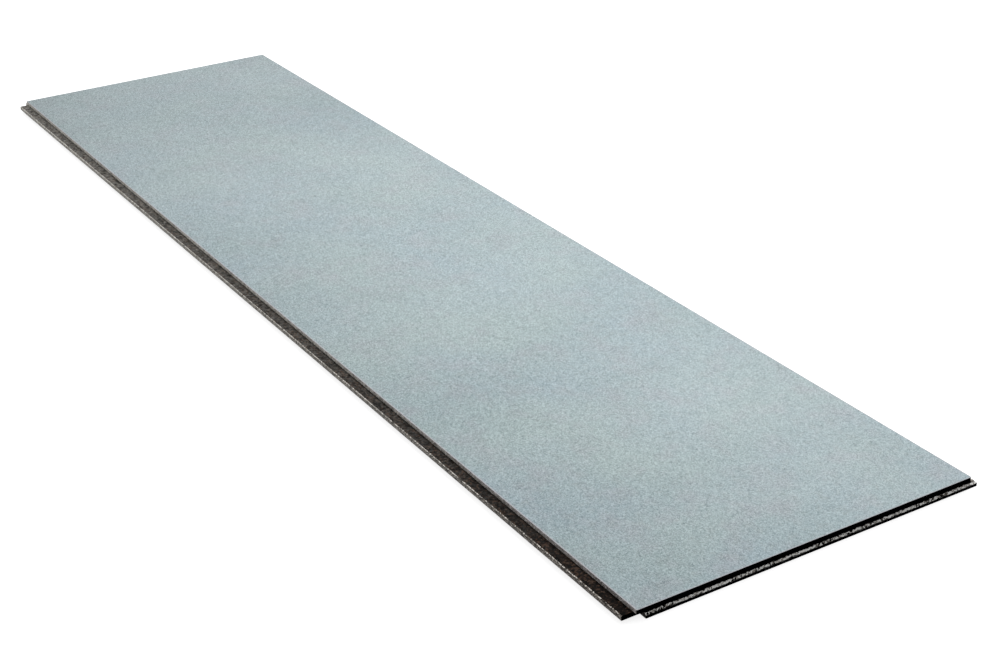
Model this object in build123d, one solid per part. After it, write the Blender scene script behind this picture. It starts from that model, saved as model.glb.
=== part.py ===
from build123d import *
import os

# Tongue-and-groove chipboard board, lying flat.
# Millimetres, +Z up. The origin is on the underside, below the centre of the top face.
# +X runs along the board to its groove end, and +Y runs across it to its groove side.

# Sizes of the board as it is laid
cover_length = 2400.0
cover_width = 600.0
thickness = 22.0

# Profile that all four edges share
upper_lip = 6.4
tongue_room = 8.0
fit_gap = 0.15
arris = 0.5
nose_drop = 1.7
nose_back = 1.6
nose_under = 0.8
lead_in = 2.8

# Long sides: how far the tongue, the groove and the lower lip reach
side_reach = 19.0
side_groove_depth = 19.8
side_lip_reach = 17.0
side_under_recess = 17.5

# Ends: the same four sizes, where the lower lip stops short of the top face
end_reach = 6.7
end_groove_depth = 7.5
end_lip_short = 2.5
corner_notch = 10.0

# Heights of the profile above the underside
groove_roof = thickness - upper_lip
groove_floor = groove_roof - tongue_room
tongue_floor = groove_floor + fit_gap
tongue_roof = groove_roof - fit_gap


def edge_section(span, groove_depth, lip_reach, reach, under_recess):
    """Closed outline across one direction: groove at +span / 2, tongue at -span / 2.

    lip_reach is how far the lower lip stands out past the top face, and under_recess is
    how far the underside stops short of it below the tongue. Both may be negative or 0.
    """
    groove_edge = span / 2
    tongue_edge = -span / 2
    groove_root = groove_edge - groove_depth
    lip_front = groove_edge + lip_reach
    nose = tongue_edge - reach
    under_edge = tongue_edge + under_recess

    top_jaw = [
        (groove_edge - arris, thickness),
        (groove_edge, thickness - arris),
        (groove_edge, groove_roof),
        (groove_root, groove_roof),
    ]
    bottom_jaw = [
        (groove_root, groove_floor),
        (lip_front - lead_in, groove_floor),
        (lip_front, groove_floor - lead_in),
        (lip_front, 0),
    ]
    tongue = [
        (under_edge, 0),
        (under_edge, tongue_floor),
        (nose + nose_under, tongue_floor),
        (nose, tongue_floor + nose_under),
        (nose, tongue_roof - nose_drop),
        (nose + nose_back, tongue_roof),
        (tongue_edge, tongue_roof),
        (tongue_edge, thickness - arris),
        (tongue_edge + arris, thickness),
    ]
    return make_face(Polyline(*top_jaw, *bottom_jaw, *tongue, close=True))


def board():
    """The board is where the long-side profile and the end profile overlap."""
    full_length = cover_length + 2 * end_reach
    full_width = cover_width + 2 * side_reach

    across = edge_section(
        cover_width, side_groove_depth, side_lip_reach, side_reach, side_under_recess
    )
    along = edge_section(
        cover_length, end_groove_depth, -end_lip_short, end_reach, 0
    )
    long_sides = extrude(Plane.YZ * across, amount=full_length / 2, both=True)
    ends = extrude(Plane.XZ * along, amount=full_width / 2, both=True)

    # The tongues don't meet at their shared corner: a notch leaves it open
    far_corner = Pos(-cover_length / 2, -cover_width / 2, groove_floor)
    notch = far_corner * Box(
        2 * corner_notch,
        2 * side_reach,
        tongue_room,
        align=(Align.CENTER, Align.MAX, Align.MIN),
    )
    return (long_sides & ends) - notch


os.makedirs("parts", exist_ok=True)
export_step(board(), "parts/chipboard_board.step")
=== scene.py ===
# %% [markdown]
# # A tongue-and-groove chipboard board
#
# The object is one board of pressed wood chips, 2.4 m long, with a tongue milled on one long side and one
# end, and a groove on the other two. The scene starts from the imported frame, which gives the board's size
# and place. Everything here is in metres, and +Z is up.

# %% Load the frame
import math
import random

import bmesh
import bpy
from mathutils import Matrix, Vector


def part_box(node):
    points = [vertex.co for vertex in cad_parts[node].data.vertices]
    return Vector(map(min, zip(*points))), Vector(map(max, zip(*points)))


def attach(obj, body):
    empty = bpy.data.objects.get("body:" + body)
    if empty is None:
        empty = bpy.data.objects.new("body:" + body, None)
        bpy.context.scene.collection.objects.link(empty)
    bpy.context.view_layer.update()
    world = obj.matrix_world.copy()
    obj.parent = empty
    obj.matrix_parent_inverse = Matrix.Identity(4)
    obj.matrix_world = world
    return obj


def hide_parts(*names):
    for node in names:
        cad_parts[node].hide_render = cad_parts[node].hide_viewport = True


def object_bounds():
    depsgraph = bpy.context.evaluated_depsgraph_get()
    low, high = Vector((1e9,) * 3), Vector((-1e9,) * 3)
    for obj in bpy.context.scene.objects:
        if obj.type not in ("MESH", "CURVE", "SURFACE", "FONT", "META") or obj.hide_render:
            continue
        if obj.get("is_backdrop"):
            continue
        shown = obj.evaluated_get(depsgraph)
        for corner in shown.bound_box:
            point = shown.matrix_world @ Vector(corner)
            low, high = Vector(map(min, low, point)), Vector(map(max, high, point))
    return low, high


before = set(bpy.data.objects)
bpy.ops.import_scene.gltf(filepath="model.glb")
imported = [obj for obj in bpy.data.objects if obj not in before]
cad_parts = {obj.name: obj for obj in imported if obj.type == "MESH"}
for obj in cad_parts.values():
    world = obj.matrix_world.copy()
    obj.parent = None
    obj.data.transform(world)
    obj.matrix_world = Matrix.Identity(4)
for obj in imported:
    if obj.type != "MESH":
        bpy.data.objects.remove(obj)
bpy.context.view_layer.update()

MM = 0.001
low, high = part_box("chipboard_board")
print("board box", [round(v / MM, 1) for v in low], [round(v / MM, 1) for v in high])

# %% [markdown]
# ## The sizes of the profile
#
# All four edges share one profile: two lips with a tongue's height between them. A maker sets the height of
# the lips once, on the milling spindle, and only the reach differs between the long sides and the ends. So
# the heights are named once, and each reach is named for the side that it belongs to.

# %% Profile sizes
cover_half_length = 1200 * MM
cover_half_width = 300 * MM
top = high.z

upper_lip = 6.4 * MM
tongue_room = 8.0 * MM
fit_gap = 0.15 * MM
groove_roof = top - upper_lip
groove_floor = groove_roof - tongue_room
tongue_floor = groove_floor + fit_gap
tongue_roof = groove_roof - fit_gap

side_groove_depth = 19.8 * MM
end_groove_depth = 7.5 * MM
end_lip_short = 2.5 * MM
under_recess = 17.5 * MM
corner_notch = 10 * MM

side_reach = -cover_half_width - low.y
end_reach = -cover_half_length - low.x
side_lip_front = high.y
end_lip_front = cover_half_length - end_lip_short

arris = 0.5 * MM
nose = 1.6 * MM
nose_under = 0.8 * MM
lead_in = 2.8 * MM
corner_round = 2 * MM
painted_shadow_edge = cover_half_width + tongue_room
print("side tongue", round(side_reach / MM, 2), "end tongue", round(end_reach / MM, 2))

# %% [markdown]
# ## Helpers for working as by hand
#
# An operator acts on all that is selected. These helpers deselect everything, and then select faces or
# edges by where they lie, which is what a hand does with box select.

# %% Selection helpers
NEAR = 0.05 * MM


def at(value, *places):
    """True where value is at one of the places."""
    return any(abs(value - place) < NEAR for place in places)


def along(a, b, axis):
    """True for an edge from a to b that runs along one axis."""
    other = [i for i in range(3) if i != axis]
    return all(abs(a[i] - b[i]) < NEAR for i in other)


def only(piece):
    """Makes piece the only selected object, and the active one."""
    bpy.ops.object.select_all(action="DESELECT")
    piece.select_set(True)
    bpy.context.view_layer.objects.active = piece


def pick_faces(piece, test):
    """Selects, in edit mode, the faces for which test(centre, normal) is true."""
    bpy.ops.mesh.select_all(action="DESELECT")
    bpy.ops.mesh.select_mode(type="FACE")
    shape = bmesh.from_edit_mesh(piece.data)
    for face in shape.faces:
        face.select_set(bool(test(face.calc_center_median(), face.normal)))
    bmesh.update_edit_mesh(piece.data)
    return sum(face.select for face in shape.faces)


def pick_edges(piece, test):
    """Selects, in edit mode, the edges for which test(end, other end) is true."""
    bpy.ops.mesh.select_all(action="DESELECT")
    bpy.ops.mesh.select_mode(type="EDGE")
    shape = bmesh.from_edit_mesh(piece.data)
    for edge in shape.edges:
        edge.select_set(bool(test(edge.verts[0].co, edge.verts[1].co)))
    bmesh.update_edit_mesh(piece.data)
    return sum(edge.select for edge in shape.edges)


# %% Shaping helpers
def cut_all(point, normal):
    """Cuts every face along one plane, and keeps both sides."""
    bpy.ops.mesh.select_all(action="SELECT")
    bpy.ops.mesh.bisect(plane_co=point, plane_no=normal)


def push_out(piece, test, move):
    """Extrudes the faces that test picks, and moves them."""
    count = pick_faces(piece, test)
    bpy.ops.mesh.extrude_region_move(TRANSFORM_OT_translate={"value": move})
    return count


def soften(piece, test, width, steps):
    """Bevels the edges that test picks."""
    count = pick_edges(piece, test)
    bpy.ops.mesh.bevel(offset=width, segments=steps, profile=0.5, affect="EDGES", clamp_overlap=True)
    return count


print("places match within", NEAR / MM, "mm")

# %% [markdown]
# ## The board's core
#
# A real board starts as a plain panel, and the cutters take its edges away. In Blender it is easier to go
# the other way. The part that every layer has in common is one block. It is cut at the heights of the
# lips, and each layer is then pulled out of its sides as far as it reaches. This keeps every face a clean
# rectangle.

# %% Block and layer cuts
core_low = Vector((-cover_half_length, -cover_half_width + under_recess, 0))
core_high = Vector((cover_half_length - end_groove_depth, cover_half_width - side_groove_depth, top))

bpy.ops.object.select_all(action="DESELECT")
bpy.ops.mesh.primitive_cube_add(size=1, location=(core_low + core_high) / 2, scale=core_high - core_low)
board = bpy.context.object
board.name = "chipboard_board_milled"
only(board)
bpy.ops.object.transform_apply(location=True, rotation=True, scale=True)

bpy.ops.object.mode_set(mode="EDIT")
for layer in (groove_floor, tongue_floor, tongue_roof, groove_roof):
    cut_all((0, 0, layer), (0, 0, 1))
cut_all((-cover_half_length + corner_notch, 0, 0), (1, 0, 0))
print("core cut into", len(bmesh.from_edit_mesh(board.data).faces), "faces")

# %% [markdown]
# ## Lips and tongues
#
# Each layer is now extruded to its own reach. The long sides come first, because the end cutters run
# across the finished side profile. The side tongue leaves the last 10 mm free, which is the notch at the
# corner where the two tongues would meet. A face belongs to a side where its normal points straight out of
# that side.

# %% Long sides
STRAIGHT = 0.9

push_out(
    board,
    lambda c, n: n.y > STRAIGHT and c.z > groove_roof,
    (0, side_groove_depth, 0),
)
push_out(
    board,
    lambda c, n: n.y > STRAIGHT and c.z < groove_floor,
    (0, side_lip_front - core_high.y, 0),
)
push_out(
    board,
    lambda c, n: n.y < -STRAIGHT and c.z > tongue_floor,
    (0, -under_recess, 0),
)
tongue_faces = push_out(
    board,
    lambda c, n: n.y < -STRAIGHT
    and tongue_floor < c.z < tongue_roof
    and c.x > -cover_half_length + corner_notch,
    (0, -side_reach, 0),
)
print("side tongue pulled from", tongue_faces, "face")

# %% Ends
push_out(
    board,
    lambda c, n: n.x > STRAIGHT and c.z > groove_roof,
    (end_groove_depth, 0, 0),
)
push_out(
    board,
    lambda c, n: n.x > STRAIGHT and c.z < groove_floor,
    (end_lip_front - core_high.x, 0, 0),
)
push_out(
    board,
    lambda c, n: n.x < -STRAIGHT
    and tongue_floor < c.z < tongue_roof
    and c.x < -cover_half_length + NEAR,
    (-end_reach, 0, 0),
)
same_plane = math.radians(0.5)
bpy.ops.mesh.select_all(action="SELECT")
bpy.ops.mesh.dissolve_limited(angle_limit=same_plane)
print("board has", len(bmesh.from_edit_mesh(board.data).faces), "faces")

# %% [markdown]
# ## Arrises
#
# No milled edge is perfectly sharp. The lower lips have a wide lead-in, the board's corners are knocked
# round, the noses of the tongues are rounded so that they find the groove, and the top face's edges are
# just broken. Bevel does all of these, each on its own set of edges and at its own width. The lead-in
# comes before the corners, because a bevel can't be wider than the short edges of a rounded corner. The
# lip's floor is first cut where the upper lip's shadow ends. The part in that shadow is painted black as
# shade, and the lit border beyond can have a pale finish of its own.


# %% Which edges are bevelled
def on_lip_edge(a, b):
    """True for the upper edge of a lower lip's front."""
    on_side = along(a, b, 0) and at(a.y, side_lip_front)
    on_end = along(a, b, 1) and at(a.x, end_lip_front)
    return at(a.z, groove_floor) and at(b.z, groove_floor) and (on_side or on_end)


def on_lip_corner(point):
    """True where a point lies on the corner of the lower lips, or on the mitre of their lead-ins."""
    reach = lead_in + NEAR
    return point.x > end_lip_front - reach and point.y > side_lip_front - reach


def on_board_corner(a, b):
    """True for the upright edges at the groove end, and for all edges of the lower lips' corner."""
    upright = along(a, b, 2) and at(a.x, cover_half_length)
    return upright or (on_lip_corner(a) and on_lip_corner(b))


def on_nose(a, b, layer):
    """True for an edge along the front of a tongue, at one height."""
    on_side = along(a, b, 0) and at(a.y, low.y)
    on_end = along(a, b, 1) and at(a.x, low.x)
    return at(a.z, layer) and at(b.z, layer) and (on_side or on_end)


print("lead-in", lead_in / MM, "mm, corners", corner_round / MM, "mm, noses", nose / MM, "mm")

# %% Bevels
# Cut where the upper lip's shadow on the lower lip's floor ends, so the part in it can be painted black as
# shade
cut_all((0, painted_shadow_edge, 0), (0, 1, 0))
lips_softened = soften(board, on_lip_edge, lead_in, steps=1)
corners_softened = soften(board, on_board_corner, corner_round, steps=3)
noses_softened = soften(board, lambda a, b: on_nose(a, b, tongue_roof), nose, steps=3)
soften(board, lambda a, b: on_nose(a, b, tongue_floor), nose_under, steps=2)
top_softened = soften(board, lambda a, b: at(a.z, top) and at(b.z, top), arris, steps=2)
print("bevelled", lips_softened, "lip edges,", corners_softened, "corners,", noses_softened, "noses")
print("top edges broken", top_softened)

# %% [markdown]
# ## Torn borders
#
# The cutter tears chips out of the lead-in, so its two borders are never straight. Each border is divided
# into pieces as long as a chip, and a seeded draw then picks some of the points and moves them a little.
# The points stay in the plane of the lip's front or of the groove's floor, so those faces stay flat.

# %% Divide the lead-in
lip_low = groove_floor - lead_in
torn_chip = 3 * MM
shortest_border = 10 * torn_chip


def divide_lead_in(piece, axis, front, length):
    """Divides both borders of the lead-in behind the front that faces along axis."""
    count = pick_edges(
        piece,
        lambda a, b: (a - b).length > shortest_border
        and along(a, b, 1 - axis)
        and at(a.z, lip_low, groove_floor)
        and a[axis] > front - lead_in - NEAR,
    )
    bpy.ops.mesh.subdivide_edgering(
        number_cuts=round(length / torn_chip), interpolation="LINEAR", smoothness=0, profile_shape_factor=0
    )
    return count


# %% Crumble the lead-in
draw = random.Random(22)
tear = 0.9 * MM
torn_share = 0.4


def crumble(piece, test, move):
    """Moves a share of the points that test picks, and then that share of the rest half as far back."""
    for step in (move, -move / 2):
        bpy.ops.mesh.select_all(action="DESELECT")
        bpy.ops.mesh.select_mode(type="VERT")
        shape = bmesh.from_edit_mesh(piece.data)
        for vertex in shape.verts:
            vertex.select_set(bool(test(vertex.co)) and draw.random() < torn_share)
        bmesh.update_edit_mesh(piece.data)
        bpy.ops.transform.translate(value=step)


down = Vector((0, 0, -tear))
for axis, front, start, end in (
    (0, end_lip_front, core_low.y, painted_shadow_edge),
    (1, side_lip_front, -cover_half_length, end_lip_front - lead_in - corner_round),
):
    borders = divide_lead_in(board, axis, front, end - start)
    inward = Vector((axis - 1, -axis, 0)) * tear
    for layer, place, move in ((lip_low, front, down), (groove_floor, front - lead_in, inward)):
        crumble(
            board,
            lambda p: start + NEAR < p[1 - axis] < end - NEAR and at(p.z, layer) and at(p[axis], place),
            move,
        )
    print("lead-in torn along", borders, "borders")
bpy.ops.object.mode_set(mode="OBJECT")
print("board has", len(board.data.polygons), "faces")

# %% [markdown]
# ## Colour and node helpers
#
# Hex colours are written for a screen, and Blender counts light, so one function turns the first into the
# second. Another adds a node. It is told what each input gets: a number, a hex colour, or the node or
# socket that feeds it. The node's settings come last.


# %% Node helpers
def linear(hex_colour):
    """The linear colour of an sRGB hex value."""
    channels = [int(hex_colour[i : i + 2], 16) / 255 for i in (1, 3, 5)]
    return tuple(c / 12.92 if c <= 0.04045 else ((c + 0.055) / 1.055) ** 2.4 for c in channels) + (1.0,)


def add(tree, kind, inputs=None, **settings):
    """Adds a node with its settings and inputs. A node given as an input stands for its first output."""
    node = tree.nodes.new("ShaderNode" + kind)
    for name, value in settings.items():
        setattr(node, name, value)
    for name, given in (inputs or {}).items():
        named = [s for s in node.inputs if s.name == name and s.enabled]
        socket = named[0] if named else node.inputs[name]
        if isinstance(given, bpy.types.Node):
            given = next(s for s in given.outputs if s.enabled)
        if isinstance(given, bpy.types.NodeSocket):
            tree.links.new(given, socket)
        elif isinstance(given, str):
            socket.default_value = linear(given)
        else:
            socket.default_value = given
    return node


def new_material(name):
    """An empty node material, its tree, and the object's own coordinates."""
    material = bpy.data.materials.new(name)
    material.use_nodes = True
    tree = material.node_tree
    tree.nodes.clear()
    place = add(tree, "TexCoord")
    return material, tree, place.outputs["Object"]


def tint_where(tree, colour, tint, pattern, start, end, most=1.0):
    """Lays a tint over a colour: none where a pattern is at start, the share most where it is at end."""
    share = add(tree, "MapRange", {"Value": pattern, "From Min": start, "From Max": end, "To Max": most})
    return add(tree, "Mix", {"Factor": share, "A": colour, "B": tint}, data_type="RGBA")


print("mid grey #808080 is", round(linear("#808080")[0], 3), "of the light that white gives")

# %% [markdown]
# ## The pressed face
#
# The face of the board is its finest layer: dust-like chips, pressed hot and sanded flat, under a thin
# grey-green seal that keeps rain off while the house is open. Its colour is even, with faint clouds as wide
# as the board, where the mat of chips lay thicker or thinner in the press, and finer ones down to the width
# of a finger. The widest clouds also carry painted shade: they are moved so that the near corner by the
# tongue is darker. Single chips show as a speckle. The seal is thinner towards the tongue end, so they show
# more there. The face is almost matt, and its edges are worn pale where boards rub together.

# %% Pressed face sizes
press_and_shade_cloud_size = 650 * MM
painted_shade_cloud_place = (-8.5, -0.6, 0)
cloud_size = 260 * MM
patch_size = 60 * MM
stain_size = 18 * MM
fleck_size = 5 * MM
# The real dust is finer than 1 mm, which wouldn't show, so its chips are drawn this wide
face_chip_size = 1.5 * MM
rim_widths = (1.4 * MM, 2.6 * MM)
print("face patterns from", round(press_and_shade_cloud_size / MM), "mm down to", face_chip_size / MM, "mm")


# %% Pressed face material
def near_edge(tree, where, edges, widths):
    """A mask that grows to 1 within half a width of the edges, which lie at +-x and +-y."""
    apart = add(tree, "VectorMath", {0: where}, operation="ABSOLUTE")
    split = add(tree, "SeparateXYZ", {"Vector": apart})
    rims = {}
    for i, (axis, edge, width) in enumerate(zip("XY", edges, widths)):
        across = {"Value": split.outputs[axis], "From Min": edge - width, "From Max": edge - width / 2}
        rims[i] = add(tree, "MapRange", across)
    return add(tree, "Math", rims, operation="MAXIMUM")


def sealed_pressed_chipboard():
    """Fine pressed chips under a grey-green seal: matt, speckled, faintly clouded."""
    material, tree, where = new_material("sealed_pressed_chipboard")

    cloudy = {"Vector": where, "Scale": 1 / cloud_size, "Detail": 2, "Roughness": 0.5}
    patchy = {"Vector": where, "Scale": 1 / patch_size, "Detail": 3, "Roughness": 0.6}
    stained = {"Vector": where, "Scale": 1 / stain_size, "Detail": 4, "Roughness": 0.7}
    flecked = {"Vector": where, "Scale": 1 / fleck_size, "Detail": 3, "Roughness": 0.7}
    clouds = add(tree, "TexNoise", cloudy)
    patches = add(tree, "TexNoise", patchy)
    stains = add(tree, "TexNoise", stained)
    flecks = add(tree, "TexNoise", flecked)
    colour = tint_where(tree, "#A2BAC3", "#ABC2C0", clouds, 0.35, 0.65)
    colour = tint_where(tree, colour, "#AEACB6", patches, 0.48, 0.72, 0.6)
    colour = tint_where(tree, colour, "#98A5A4", stains, 0.5, 0.7, 0.6)

    # Each chip has a grey tone and a warm one, and the seal lets half or more of them through
    chips = add(tree, "TexVoronoi", {"Vector": where, "Scale": 1 / face_chip_size})
    tone = add(tree, "SeparateColor", {"Color": chips.outputs["Color"]})
    greys = {"Factor": tone.outputs["Red"], "A": "#5C7077", "B": "#EAF8FB"}
    warms = {"Factor": tone.outputs["Green"], "A": "#9FA89C", "B": "#B8AEBC"}
    grey = add(tree, "Mix", greys, data_type="RGBA")
    warm = add(tree, "Mix", warms, data_type="RGBA")
    chip = add(tree, "Mix", {"Factor": 0.25, "A": grey, "B": warm}, data_type="RGBA")
    lengthways = add(tree, "SeparateXYZ", {"Vector": where}).outputs["X"]
    from_tongue_end = {"Value": lengthways, "From Min": -cover_half_length, "From Max": cover_half_length}
    seal_worn = add(tree, "MapRange", {**from_tongue_end, "To Min": 0.7, "To Max": 0.5})
    colour = add(tree, "Mix", {"Factor": seal_worn, "A": colour, "B": chip}, data_type="RGBA")

    colour = tint_where(tree, colour, "#6F7F84", flecks, 0.58, 0.68, 0.5)

    # The widest clouds are light and dark, and are moved so that the near corner by the tongue is dark,
    # which is painted shade over the press clouds
    moved = add(tree, "Mapping", {"Vector": where, "Location": painted_shade_cloud_place})
    pressed = {"Vector": moved, "Scale": 1 / press_and_shade_cloud_size, "Detail": 4, "Roughness": 0.5}
    shade = {"Factor": 0.5, "A": colour, "B": add(tree, "TexNoise", pressed)}
    colour = add(tree, "Mix", shade, data_type="RGBA", blend_type="SOFT_LIGHT")

    rim = near_edge(tree, where, (cover_half_length, cover_half_width), rim_widths)
    worn = add(tree, "Math", {0: rim, 1: 0.55}, operation="MULTIPLY")
    colour = add(tree, "Mix", {"Factor": worn, "A": colour, "B": "#CFC8CD"}, data_type="RGBA")

    matt = {"Value": flecks, "From Min": 0.3, "From Max": 0.7, "To Min": 0.55, "To Max": 0.7}
    grain = {"Strength": 0.4, "Distance": 0.15 * MM, "Height": tone.outputs["Red"]}
    look = {
        "Base Color": colour,
        "Roughness": add(tree, "MapRange", matt),
        "Specular IOR Level": 0.3,
        "Normal": add(tree, "Bump", grain),
    }
    add(tree, "OutputMaterial", {"Surface": add(tree, "BsdfPrincipled", look)})
    return material


pressed_face = sealed_pressed_chipboard()
print("made", pressed_face.name, "from", len(pressed_face.node_tree.nodes), "nodes")

# %% [markdown]
# ## Milled chipboard
#
# Where the cutters have been, the board shows its section: coarse chips from the middle, lying flat, with
# dark gaps between them. Each chip catches the light its own way, so every cell of a Voronoi pattern has
# its own tone. The cells are squeezed along Z, because the press laid the chips flat. The same recipe
# serves each milled surface, with its own colours, from the wax-dark groove to the pale torn arris. One
# function lays the chips, one makes them uneven, one wears off the wax and paints a sheen that grows
# towards the tongue end, one breaks the borders, and the last puts a material together from these.


# %% Milled chips
stretch_size = 28 * MM


def flat_chips(tree, where, chip_size, lean):
    """The random red, green and blue tone of each chip, with outlines that wander by half a chip."""
    length, thickness = chip_size
    lie = {"Vector": where, "Rotation": (math.radians(-lean), 0, 0), "Scale": (1, 1, thickness / length)}
    laid_flat = add(tree, "Mapping", lie, vector_type="TEXTURE")
    wander = {"Vector": laid_flat, "Scale": 1 / length, "Detail": 2, "Roughness": 0.5}
    astray = add(tree, "TexNoise", wander).outputs["Color"]
    half_chip = (length / 2, length / 2, length / 2)
    shifted = add(tree, "VectorMath", {0: astray, 1: half_chip, 2: laid_flat}, operation="MULTIPLY_ADD")
    chips = add(tree, "TexVoronoi", {"Vector": shifted, "Scale": 1 / length})
    return add(tree, "SeparateColor", {"Color": chips.outputs["Color"]})


def uneven(tree, where, tone, clumps, drift):
    """How far each chip stands out: its own tone, its clump's, and that of a whole stretch of the board."""
    spread = add(tree, "MapRange", {"Value": clumps, "From Min": 0.3, "From Max": 0.7})
    mixed = add(tree, "Mix", {"Factor": 0.35, "A": tone.outputs["Red"], "B": spread}, data_type="FLOAT")
    stretches = {"Vector": where, "Scale": 1 / stretch_size, "Detail": 2, "Roughness": 0.6}
    shift = {"From Min": 0.35, "From Max": 0.65, "To Min": -drift, "To Max": drift}
    shifts = add(tree, "MapRange", {"Value": add(tree, "TexNoise", stretches), **shift})
    return add(tree, "Math", {0: mixed, 1: shifts}, operation="ADD")


print("the mix of chips changes every", round(stretch_size / MM), "mm or so")


# %% Worn wax with painted sheen, and lost chips
def wax_worn_and_painted_sheen(tree, split, tone, clumps, colour, bare_and_sheen):
    """Lets raw, pale chips through the wax in patches: many at the tongue end, none at the groove end.
    That rise along the board is also painted sheen, for the far end's milled faces seen at a glancing
    angle.
    """
    whole_length = {"From Min": -cover_half_length, "From Max": cover_half_length}
    bare_and_sheen_ends = {"Value": split.outputs["X"], "To Min": bare_and_sheen, "To Max": 0.0}
    bare_and_sheen_lengthways = add(tree, "MapRange", {**whole_length, **bare_and_sheen_ends})
    patchy = {"Value": clumps, "From Min": 0.38, "From Max": 0.62, "To Min": 0.2, "To Max": 1.8}
    uncovered_and_sheen = add(tree, "Math", {0: bare_and_sheen_lengthways, 1: add(tree, "MapRange", patchy)}, operation="MULTIPLY")
    raw_chip = {"Factor": tone.outputs["Blue"], "A": "#B4AC9C", "B": "#FFFFFA"}
    raw = add(tree, "Mix", raw_chip, data_type="RGBA")
    return add(tree, "Mix", {"Factor": uncovered_and_sheen, "A": colour, "B": raw}, data_type="RGBA")


def borders_lost(tree, split, tone, colour, gap_colour):
    """Darkens the chips that a lead-in has lost along both of its borders."""
    middle = groove_floor - lead_in / 2
    aside = add(tree, "Math", {0: split.outputs["Z"], 1: middle}, operation="SUBTRACT")
    off = add(tree, "Math", {0: aside}, operation="ABSOLUTE")
    by_chip = {0: tone.outputs["Green"], 1: 0.32 * lead_in, 2: off}
    reach = add(tree, "Math", by_chip, operation="MULTIPLY_ADD")
    return tint_where(tree, colour, gap_colour, reach, 0.5 * lead_in, 0.6 * lead_in)


print("lead-in from", round(lip_low / MM, 2), "to", round(groove_floor / MM, 2), "mm up")

# %% Milled material
FLAKE_SHINE = 3


def milled_chipboard(
    name, colours, chip_size, shares, gloss, relief, bare_and_sheen=0.0, drift=0.0, ragged=False, lean=0
):
    """Milled section of pressed chips: flat chips of their own tones, and dark gaps between them.

    colours are those of the gaps, the chips and the palest chips, chip_size is their length and
    thickness, and shares says how much of the surface the gaps and the palest chips take. gloss holds
    the roughness, the specular level and the sheen of the torn fibres, which brighten where they are seen
    along the surface. bare_and_sheen is the share of raw chip at the tongue end, falling to none at the
    groove end; this rise along the board is painted sheen as well as raw chips. drift is how much more gap
    or pale chip a whole stretch of the board can have. A ragged lead-in has lost chips along both of its
    borders, and its pale chips are loose flat flakes, which shine up to three times as much as the rest.
    lean turns the chips' thickness from Z towards Y, in degrees.
    """
    material, tree, where = new_material(name)
    gap_colour, chip_colour, pale_colour = colours
    gap_share, pale_share = shares
    clumpy = {"Vector": where, "Scale": 0.4 / chip_size[0], "Detail": 5, "Roughness": 0.7}
    clumps = add(tree, "TexNoise", clumpy)
    split = add(tree, "SeparateXYZ", {"Vector": where})
    tone = flat_chips(tree, where, chip_size, lean)
    height = uneven(tree, where, tone, clumps, drift)

    colour = tint_where(tree, gap_colour, chip_colour, height, gap_share, gap_share + 0.15)
    colour = tint_where(tree, colour, pale_colour, height, 0.95 - pale_share, 1.1 - pale_share)
    colour = wax_worn_and_painted_sheen(tree, split, tone, clumps, colour, bare_and_sheen)
    if ragged:
        colour = borders_lost(tree, split, tone, colour, gap_colour)

    look = {
        "Base Color": colour,
        "Normal": add(tree, "Bump", {"Strength": 0.6, "Distance": relief, "Height": height}),
        "Sheen Roughness": 0.4,
        **gloss,
    }
    shader = add(tree, "BsdfPrincipled", look)
    if ragged:
        brightest = FLAKE_SHINE * gloss["Specular IOR Level"]
        flakes = add(tree, "MapRange", {"Value": height, "From Min": gap_share, "To Max": brightest})
        tree.links.new(flakes.outputs["Result"], shader.inputs["Specular IOR Level"])
    add(tree, "OutputMaterial", {"Surface": shader})
    return material


print("loose flakes shine", FLAKE_SHINE, "times as much as the rest")

# %% Kinds of surface
# Wax closes the pores and lays the fibres, so hardly any catch the light
WAXED = {"Roughness": 0.4, "Specular IOR Level": 0.02, "Sheen Weight": 0.01}
# Dry cut fibres are matt, and pale where they are seen along the surface
DRY = {"Roughness": 0.8, "Specular IOR Level": 0.1, "Sheen Weight": 0.3}
# Torn flakes lie loose, and some of them glint
TORN = {"Roughness": 0.6, "Specular IOR Level": 0.4, "Sheen Weight": 0.42}
# Deep in the end groove nothing shines
SHADED = {"Roughness": 0.9, "Specular IOR Level": 0.0, "Sheen Weight": 0.0}
print("sheen of dry and torn fibres", DRY["Sheen Weight"], TORN["Sheen Weight"])

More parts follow.
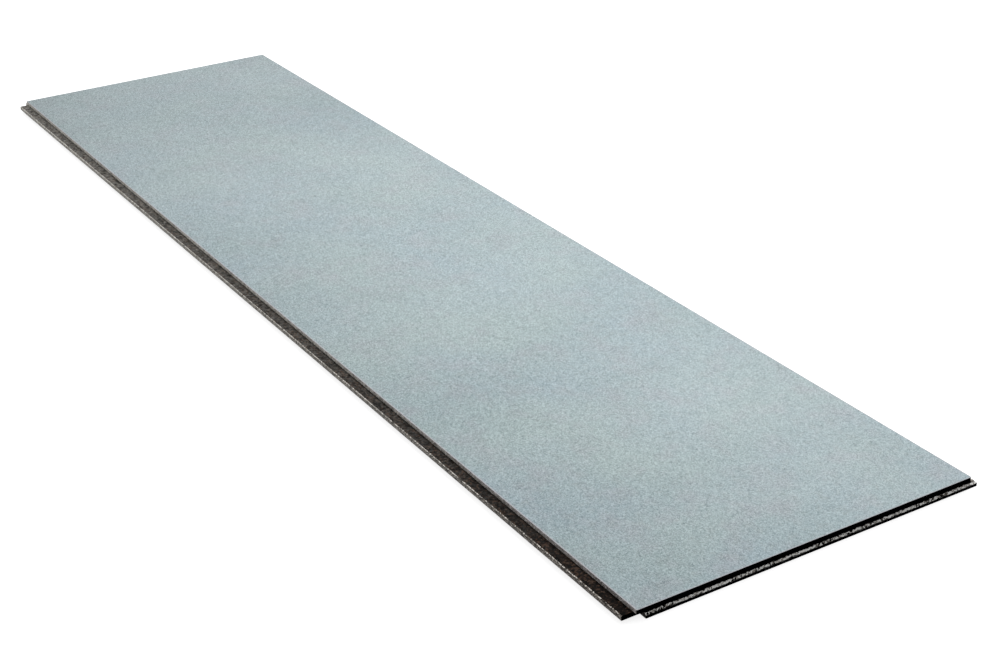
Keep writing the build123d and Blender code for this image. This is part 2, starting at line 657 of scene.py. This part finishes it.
# %% Finishes
finishes = {
    "face": pressed_face,
    # Fine grey dust of the outer layer, with pale chips towards the tongue end: raw chips and painted sheen
    "wall": milled_chipboard(
        "milled_fine_layer",
        colours=("#5C5654", "#8D8785", "#CBC5C5"),
        chip_size=(3 * MM, 1.2 * MM),
        shares=(0.3, 0.35),
        gloss=DRY,
        relief=0.15 * MM,
        bare_and_sheen=1.4,
    ),
    # Coarse chips soaked in wax: nearly black, a few brown, paler towards the tongue end as painted sheen
    "groove": milled_chipboard(
        "waxed_chipboard_groove",
        colours=("#020101", "#170E0A", "#45342A"),
        chip_size=(2.6 * MM, 1.2 * MM),
        shares=(0.35, 0.3),
        gloss=WAXED,
        relief=0.3 * MM,
        bare_and_sheen=0.185,
        drift=0.1,
    ),
    # Handled and rubbed: the wax is worn through, and pale chips stand out of it, most towards the tongue
    # end, which is partly painted sheen
    "nose": milled_chipboard(
        "worn_tongue_nose",
        colours=("#241F1A", "#766F67", "#F2ECE4"),
        chip_size=(2.4 * MM, 2 * MM),
        shares=(0.3, 0.4),
        gloss=DRY,
        relief=0.3 * MM,
        bare_and_sheen=0.85,
    ),
    # Chips torn open by the cutter: pale flakes and black holes side by side
    "torn": milled_chipboard(
        "torn_chipboard_arris",
        colours=("#060505", "#B0A9A1", "#FFFFFC"),
        chip_size=(2 * MM, 5 * MM),
        shares=(0.22, 0.57),
        gloss=TORN,
        relief=0.6 * MM,
        drift=0.2,
        ragged=True,
        lean=45,
    ),
    # Cut clean and thinly waxed: brown-grey, with the chips just showing; paler towards the tongue end,
    # which is painted sheen
    "front": milled_chipboard(
        "milled_tongue_front",
        colours=("#1B1714", "#4F4944", "#A49D95"),
        chip_size=(2.4 * MM, 1.2 * MM),
        shares=(0.3, 0.35),
        gloss=DRY,
        relief=0.25 * MM,
        bare_and_sheen=0.45,
    ),
    # An even black: painted shade for the ends and the inside of the grooves, which always lie in shade
    "end": milled_chipboard(
        "painted_shade_chipboard_end",
        colours=("#010102", "#020203", "#060606"),
        chip_size=(4 * MM, 1.2 * MM),
        shares=(0.4, 0.1),
        gloss=SHADED,
        relief=0.15 * MM,
    ),
}
print("finishes", ", ".join(f.name for f in finishes.values()))

# %% [markdown]
# ## Which finish goes where
#
# The finish of a face follows from where it lies: what the press touched is sealed, and what the cutters
# touched is milled. The ends and the inside of the grooves, which lie in shade, are painted black as shade.
# Each face is given its material by its place and its normal. The part of a normal that points along an
# axis says how flat, upright or sloping the face is.

# %% Finish of a face
FLAT = 0.97
UPRIGHT = 0.6
SLOPE = (0.3, 0.9)
ROUNDING = (0.6, 0.99)
rim_height = 1.2 * arris


def finish_of(centre, normal):
    """Names the finish of one face of the board."""
    flat = abs(normal.z) > FLAT
    past_top_face = abs(centre.x) > cover_half_length + NEAR or abs(centre.y) > cover_half_width + NEAR
    if flat and (centre.z > top - NEAR or centre.z < NEAR):
        return "face"
    # The lower lip's floor beyond the upper lip's shadow is pale; nearer in, it takes the black end finish
    # as painted shadow
    if flat and at(centre.z, groove_floor) and centre.y > painted_shadow_edge:
        return "nose"
    if centre.z > top - rim_height:
        return "face"
    if lip_low - NEAR < centre.z < groove_floor and SLOPE[0] < normal.z < SLOPE[1]:
        return "torn"
    if tongue_roof - nose < centre.z < groove_roof and ROUNDING[0] < normal.z < ROUNDING[1]:
        return "nose"
    # Upright end faces, the grooves' floors and roofs, and the groove's back wall take the black end
    # finish: painted shade
    in_groove = (flat and at(centre.z, groove_floor, groove_roof)) or at(centre.y, core_high.y)
    if abs(normal.x) > UPRIGHT or in_groove:
        return "end"
    if normal.y < -UPRIGHT and not past_top_face and centre.y < -cover_half_width + corner_round:
        return "wall"
    if abs(normal.y) > UPRIGHT and past_top_face:
        return "front"
    return "groove"


print("the pressed face takes in the rim down to", rim_height / MM, "mm")

# %% Assign finishes
order = list(finishes)
board.data.materials.clear()
for name in order:
    board.data.materials.append(finishes[name])
tally = dict.fromkeys(order, 0)
for polygon in board.data.polygons:
    name = finish_of(polygon.center, polygon.normal)
    polygon.material_index = order.index(name)
    tally[name] += 1
print("faces by finish", tally)

softest_corner = math.radians(25)
only(board)
bpy.ops.object.shade_smooth_by_angle(angle=softest_corner)
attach(board, "root")
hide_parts("chipboard_board")

# %% [markdown]
# ## Floor, light and camera
#
# The board lies on a plain pale floor. One wide lamp hangs high above the groove side, as in a photo studio
# with a soft window. It lights the top face, and leaves the near end and the tongue side in shade, which an
# even light from all round fills. The floor and all that surrounds it look white to the camera and in
# reflections, but light the board less, so that the floor keeps its shadow.


# %% Floor
def studio_floor(size):
    """A pale floor that shows white where nothing shades it."""
    bpy.ops.mesh.primitive_plane_add(size=size, location=(0, 0, 0))
    plane = bpy.context.object
    plane.name = "studio_floor"
    material, tree, _ = new_material("pale_studio_floor")
    pale = {"Base Color": "#E6E6E6", "Roughness": 0.9, "Specular IOR Level": 0.0}
    paint = add(tree, "BsdfPrincipled", pale)
    glow = add(tree, "Emission", {"Color": "#FFFFFF", "Strength": 0.78})
    lit = add(tree, "AddShader", {0: paint, 1: glow})
    rays = add(tree, "LightPath").outputs
    seen = add(tree, "Math", {0: rays["Is Camera Ray"], 1: rays["Is Glossy Ray"]}, operation="MAXIMUM")
    chosen = add(tree, "MixShader", {"Fac": seen, 1: paint, 2: lit})
    add(tree, "OutputMaterial", {"Surface": chosen})
    plane.data.materials.append(material)
    return plane


bpy.ops.object.select_all(action="DESELECT")
floor = studio_floor(size=40)
floor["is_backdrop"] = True
print("floor", floor.name)


# %% World and lamp
def white_surround(fill):
    """A world that looks white to the camera and fills the scene at a lower level."""
    world = bpy.data.worlds.new("white_surround")
    bpy.context.scene.world = world
    world.use_nodes = True
    tree = world.node_tree
    tree.nodes.clear()
    rays = add(tree, "LightPath").outputs
    mirror = add(tree, "Math", {0: rays["Is Camera Ray"], 1: rays["Is Glossy Ray"]}, operation="MAXIMUM")
    seen = add(tree, "Math", {0: mirror, 1: rays["Is Transmission Ray"]}, operation="MAXIMUM")
    strength = add(tree, "MapRange", {"Value": seen, "To Min": fill})
    background = add(tree, "Background", {"Color": "#FFFFFF", "Strength": strength})
    add(tree, "OutputWorld", {"Surface": background})


def soft_lamp(name, place, target, size, power):
    """A square lamp at a place, turned to its target."""
    bpy.ops.object.light_add(type="AREA", location=place)
    lamp = bpy.context.object
    lamp.name = name
    lamp.data.size = size
    lamp.data.energy = power
    aim = Vector(target) - Vector(place)
    lamp.rotation_euler = aim.to_track_quat("-Z", "Y").to_euler()
    return lamp


white_surround(fill=0.45)
window = soft_lamp("window_lamp", place=(0.15, 0.75, 2.6), target=(0, 0, 0), size=1.2, power=42)
print("lamp", window.name, "of", window.data.energy, "W")

# %% Camera
photo_eye = (2762.93 * MM, -1457.06 * MM, 1406.21 * MM)
photo_turn = (63.226, 1.021, 57.997)
bpy.ops.object.camera_add(location=photo_eye, rotation=[math.radians(a) for a in photo_turn])
camera = bpy.context.object
camera.name = "photo_camera"
camera.data.sensor_width = 36
camera.data.lens = 65.14
camera.data.clip_start = 0.05
camera.data.clip_end = 60
bpy.context.scene.camera = camera
bpy.context.scene.view_settings.view_transform = "Standard"
print("camera stands", round(Vector(photo_eye).length, 2), "m from the board's middle")

# %% Sizes
visual_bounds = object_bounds()
visual_low, visual_high = visual_bounds
print("visual box", [round(v / MM, 2) for v in visual_low], [round(v / MM, 2) for v in visual_high])
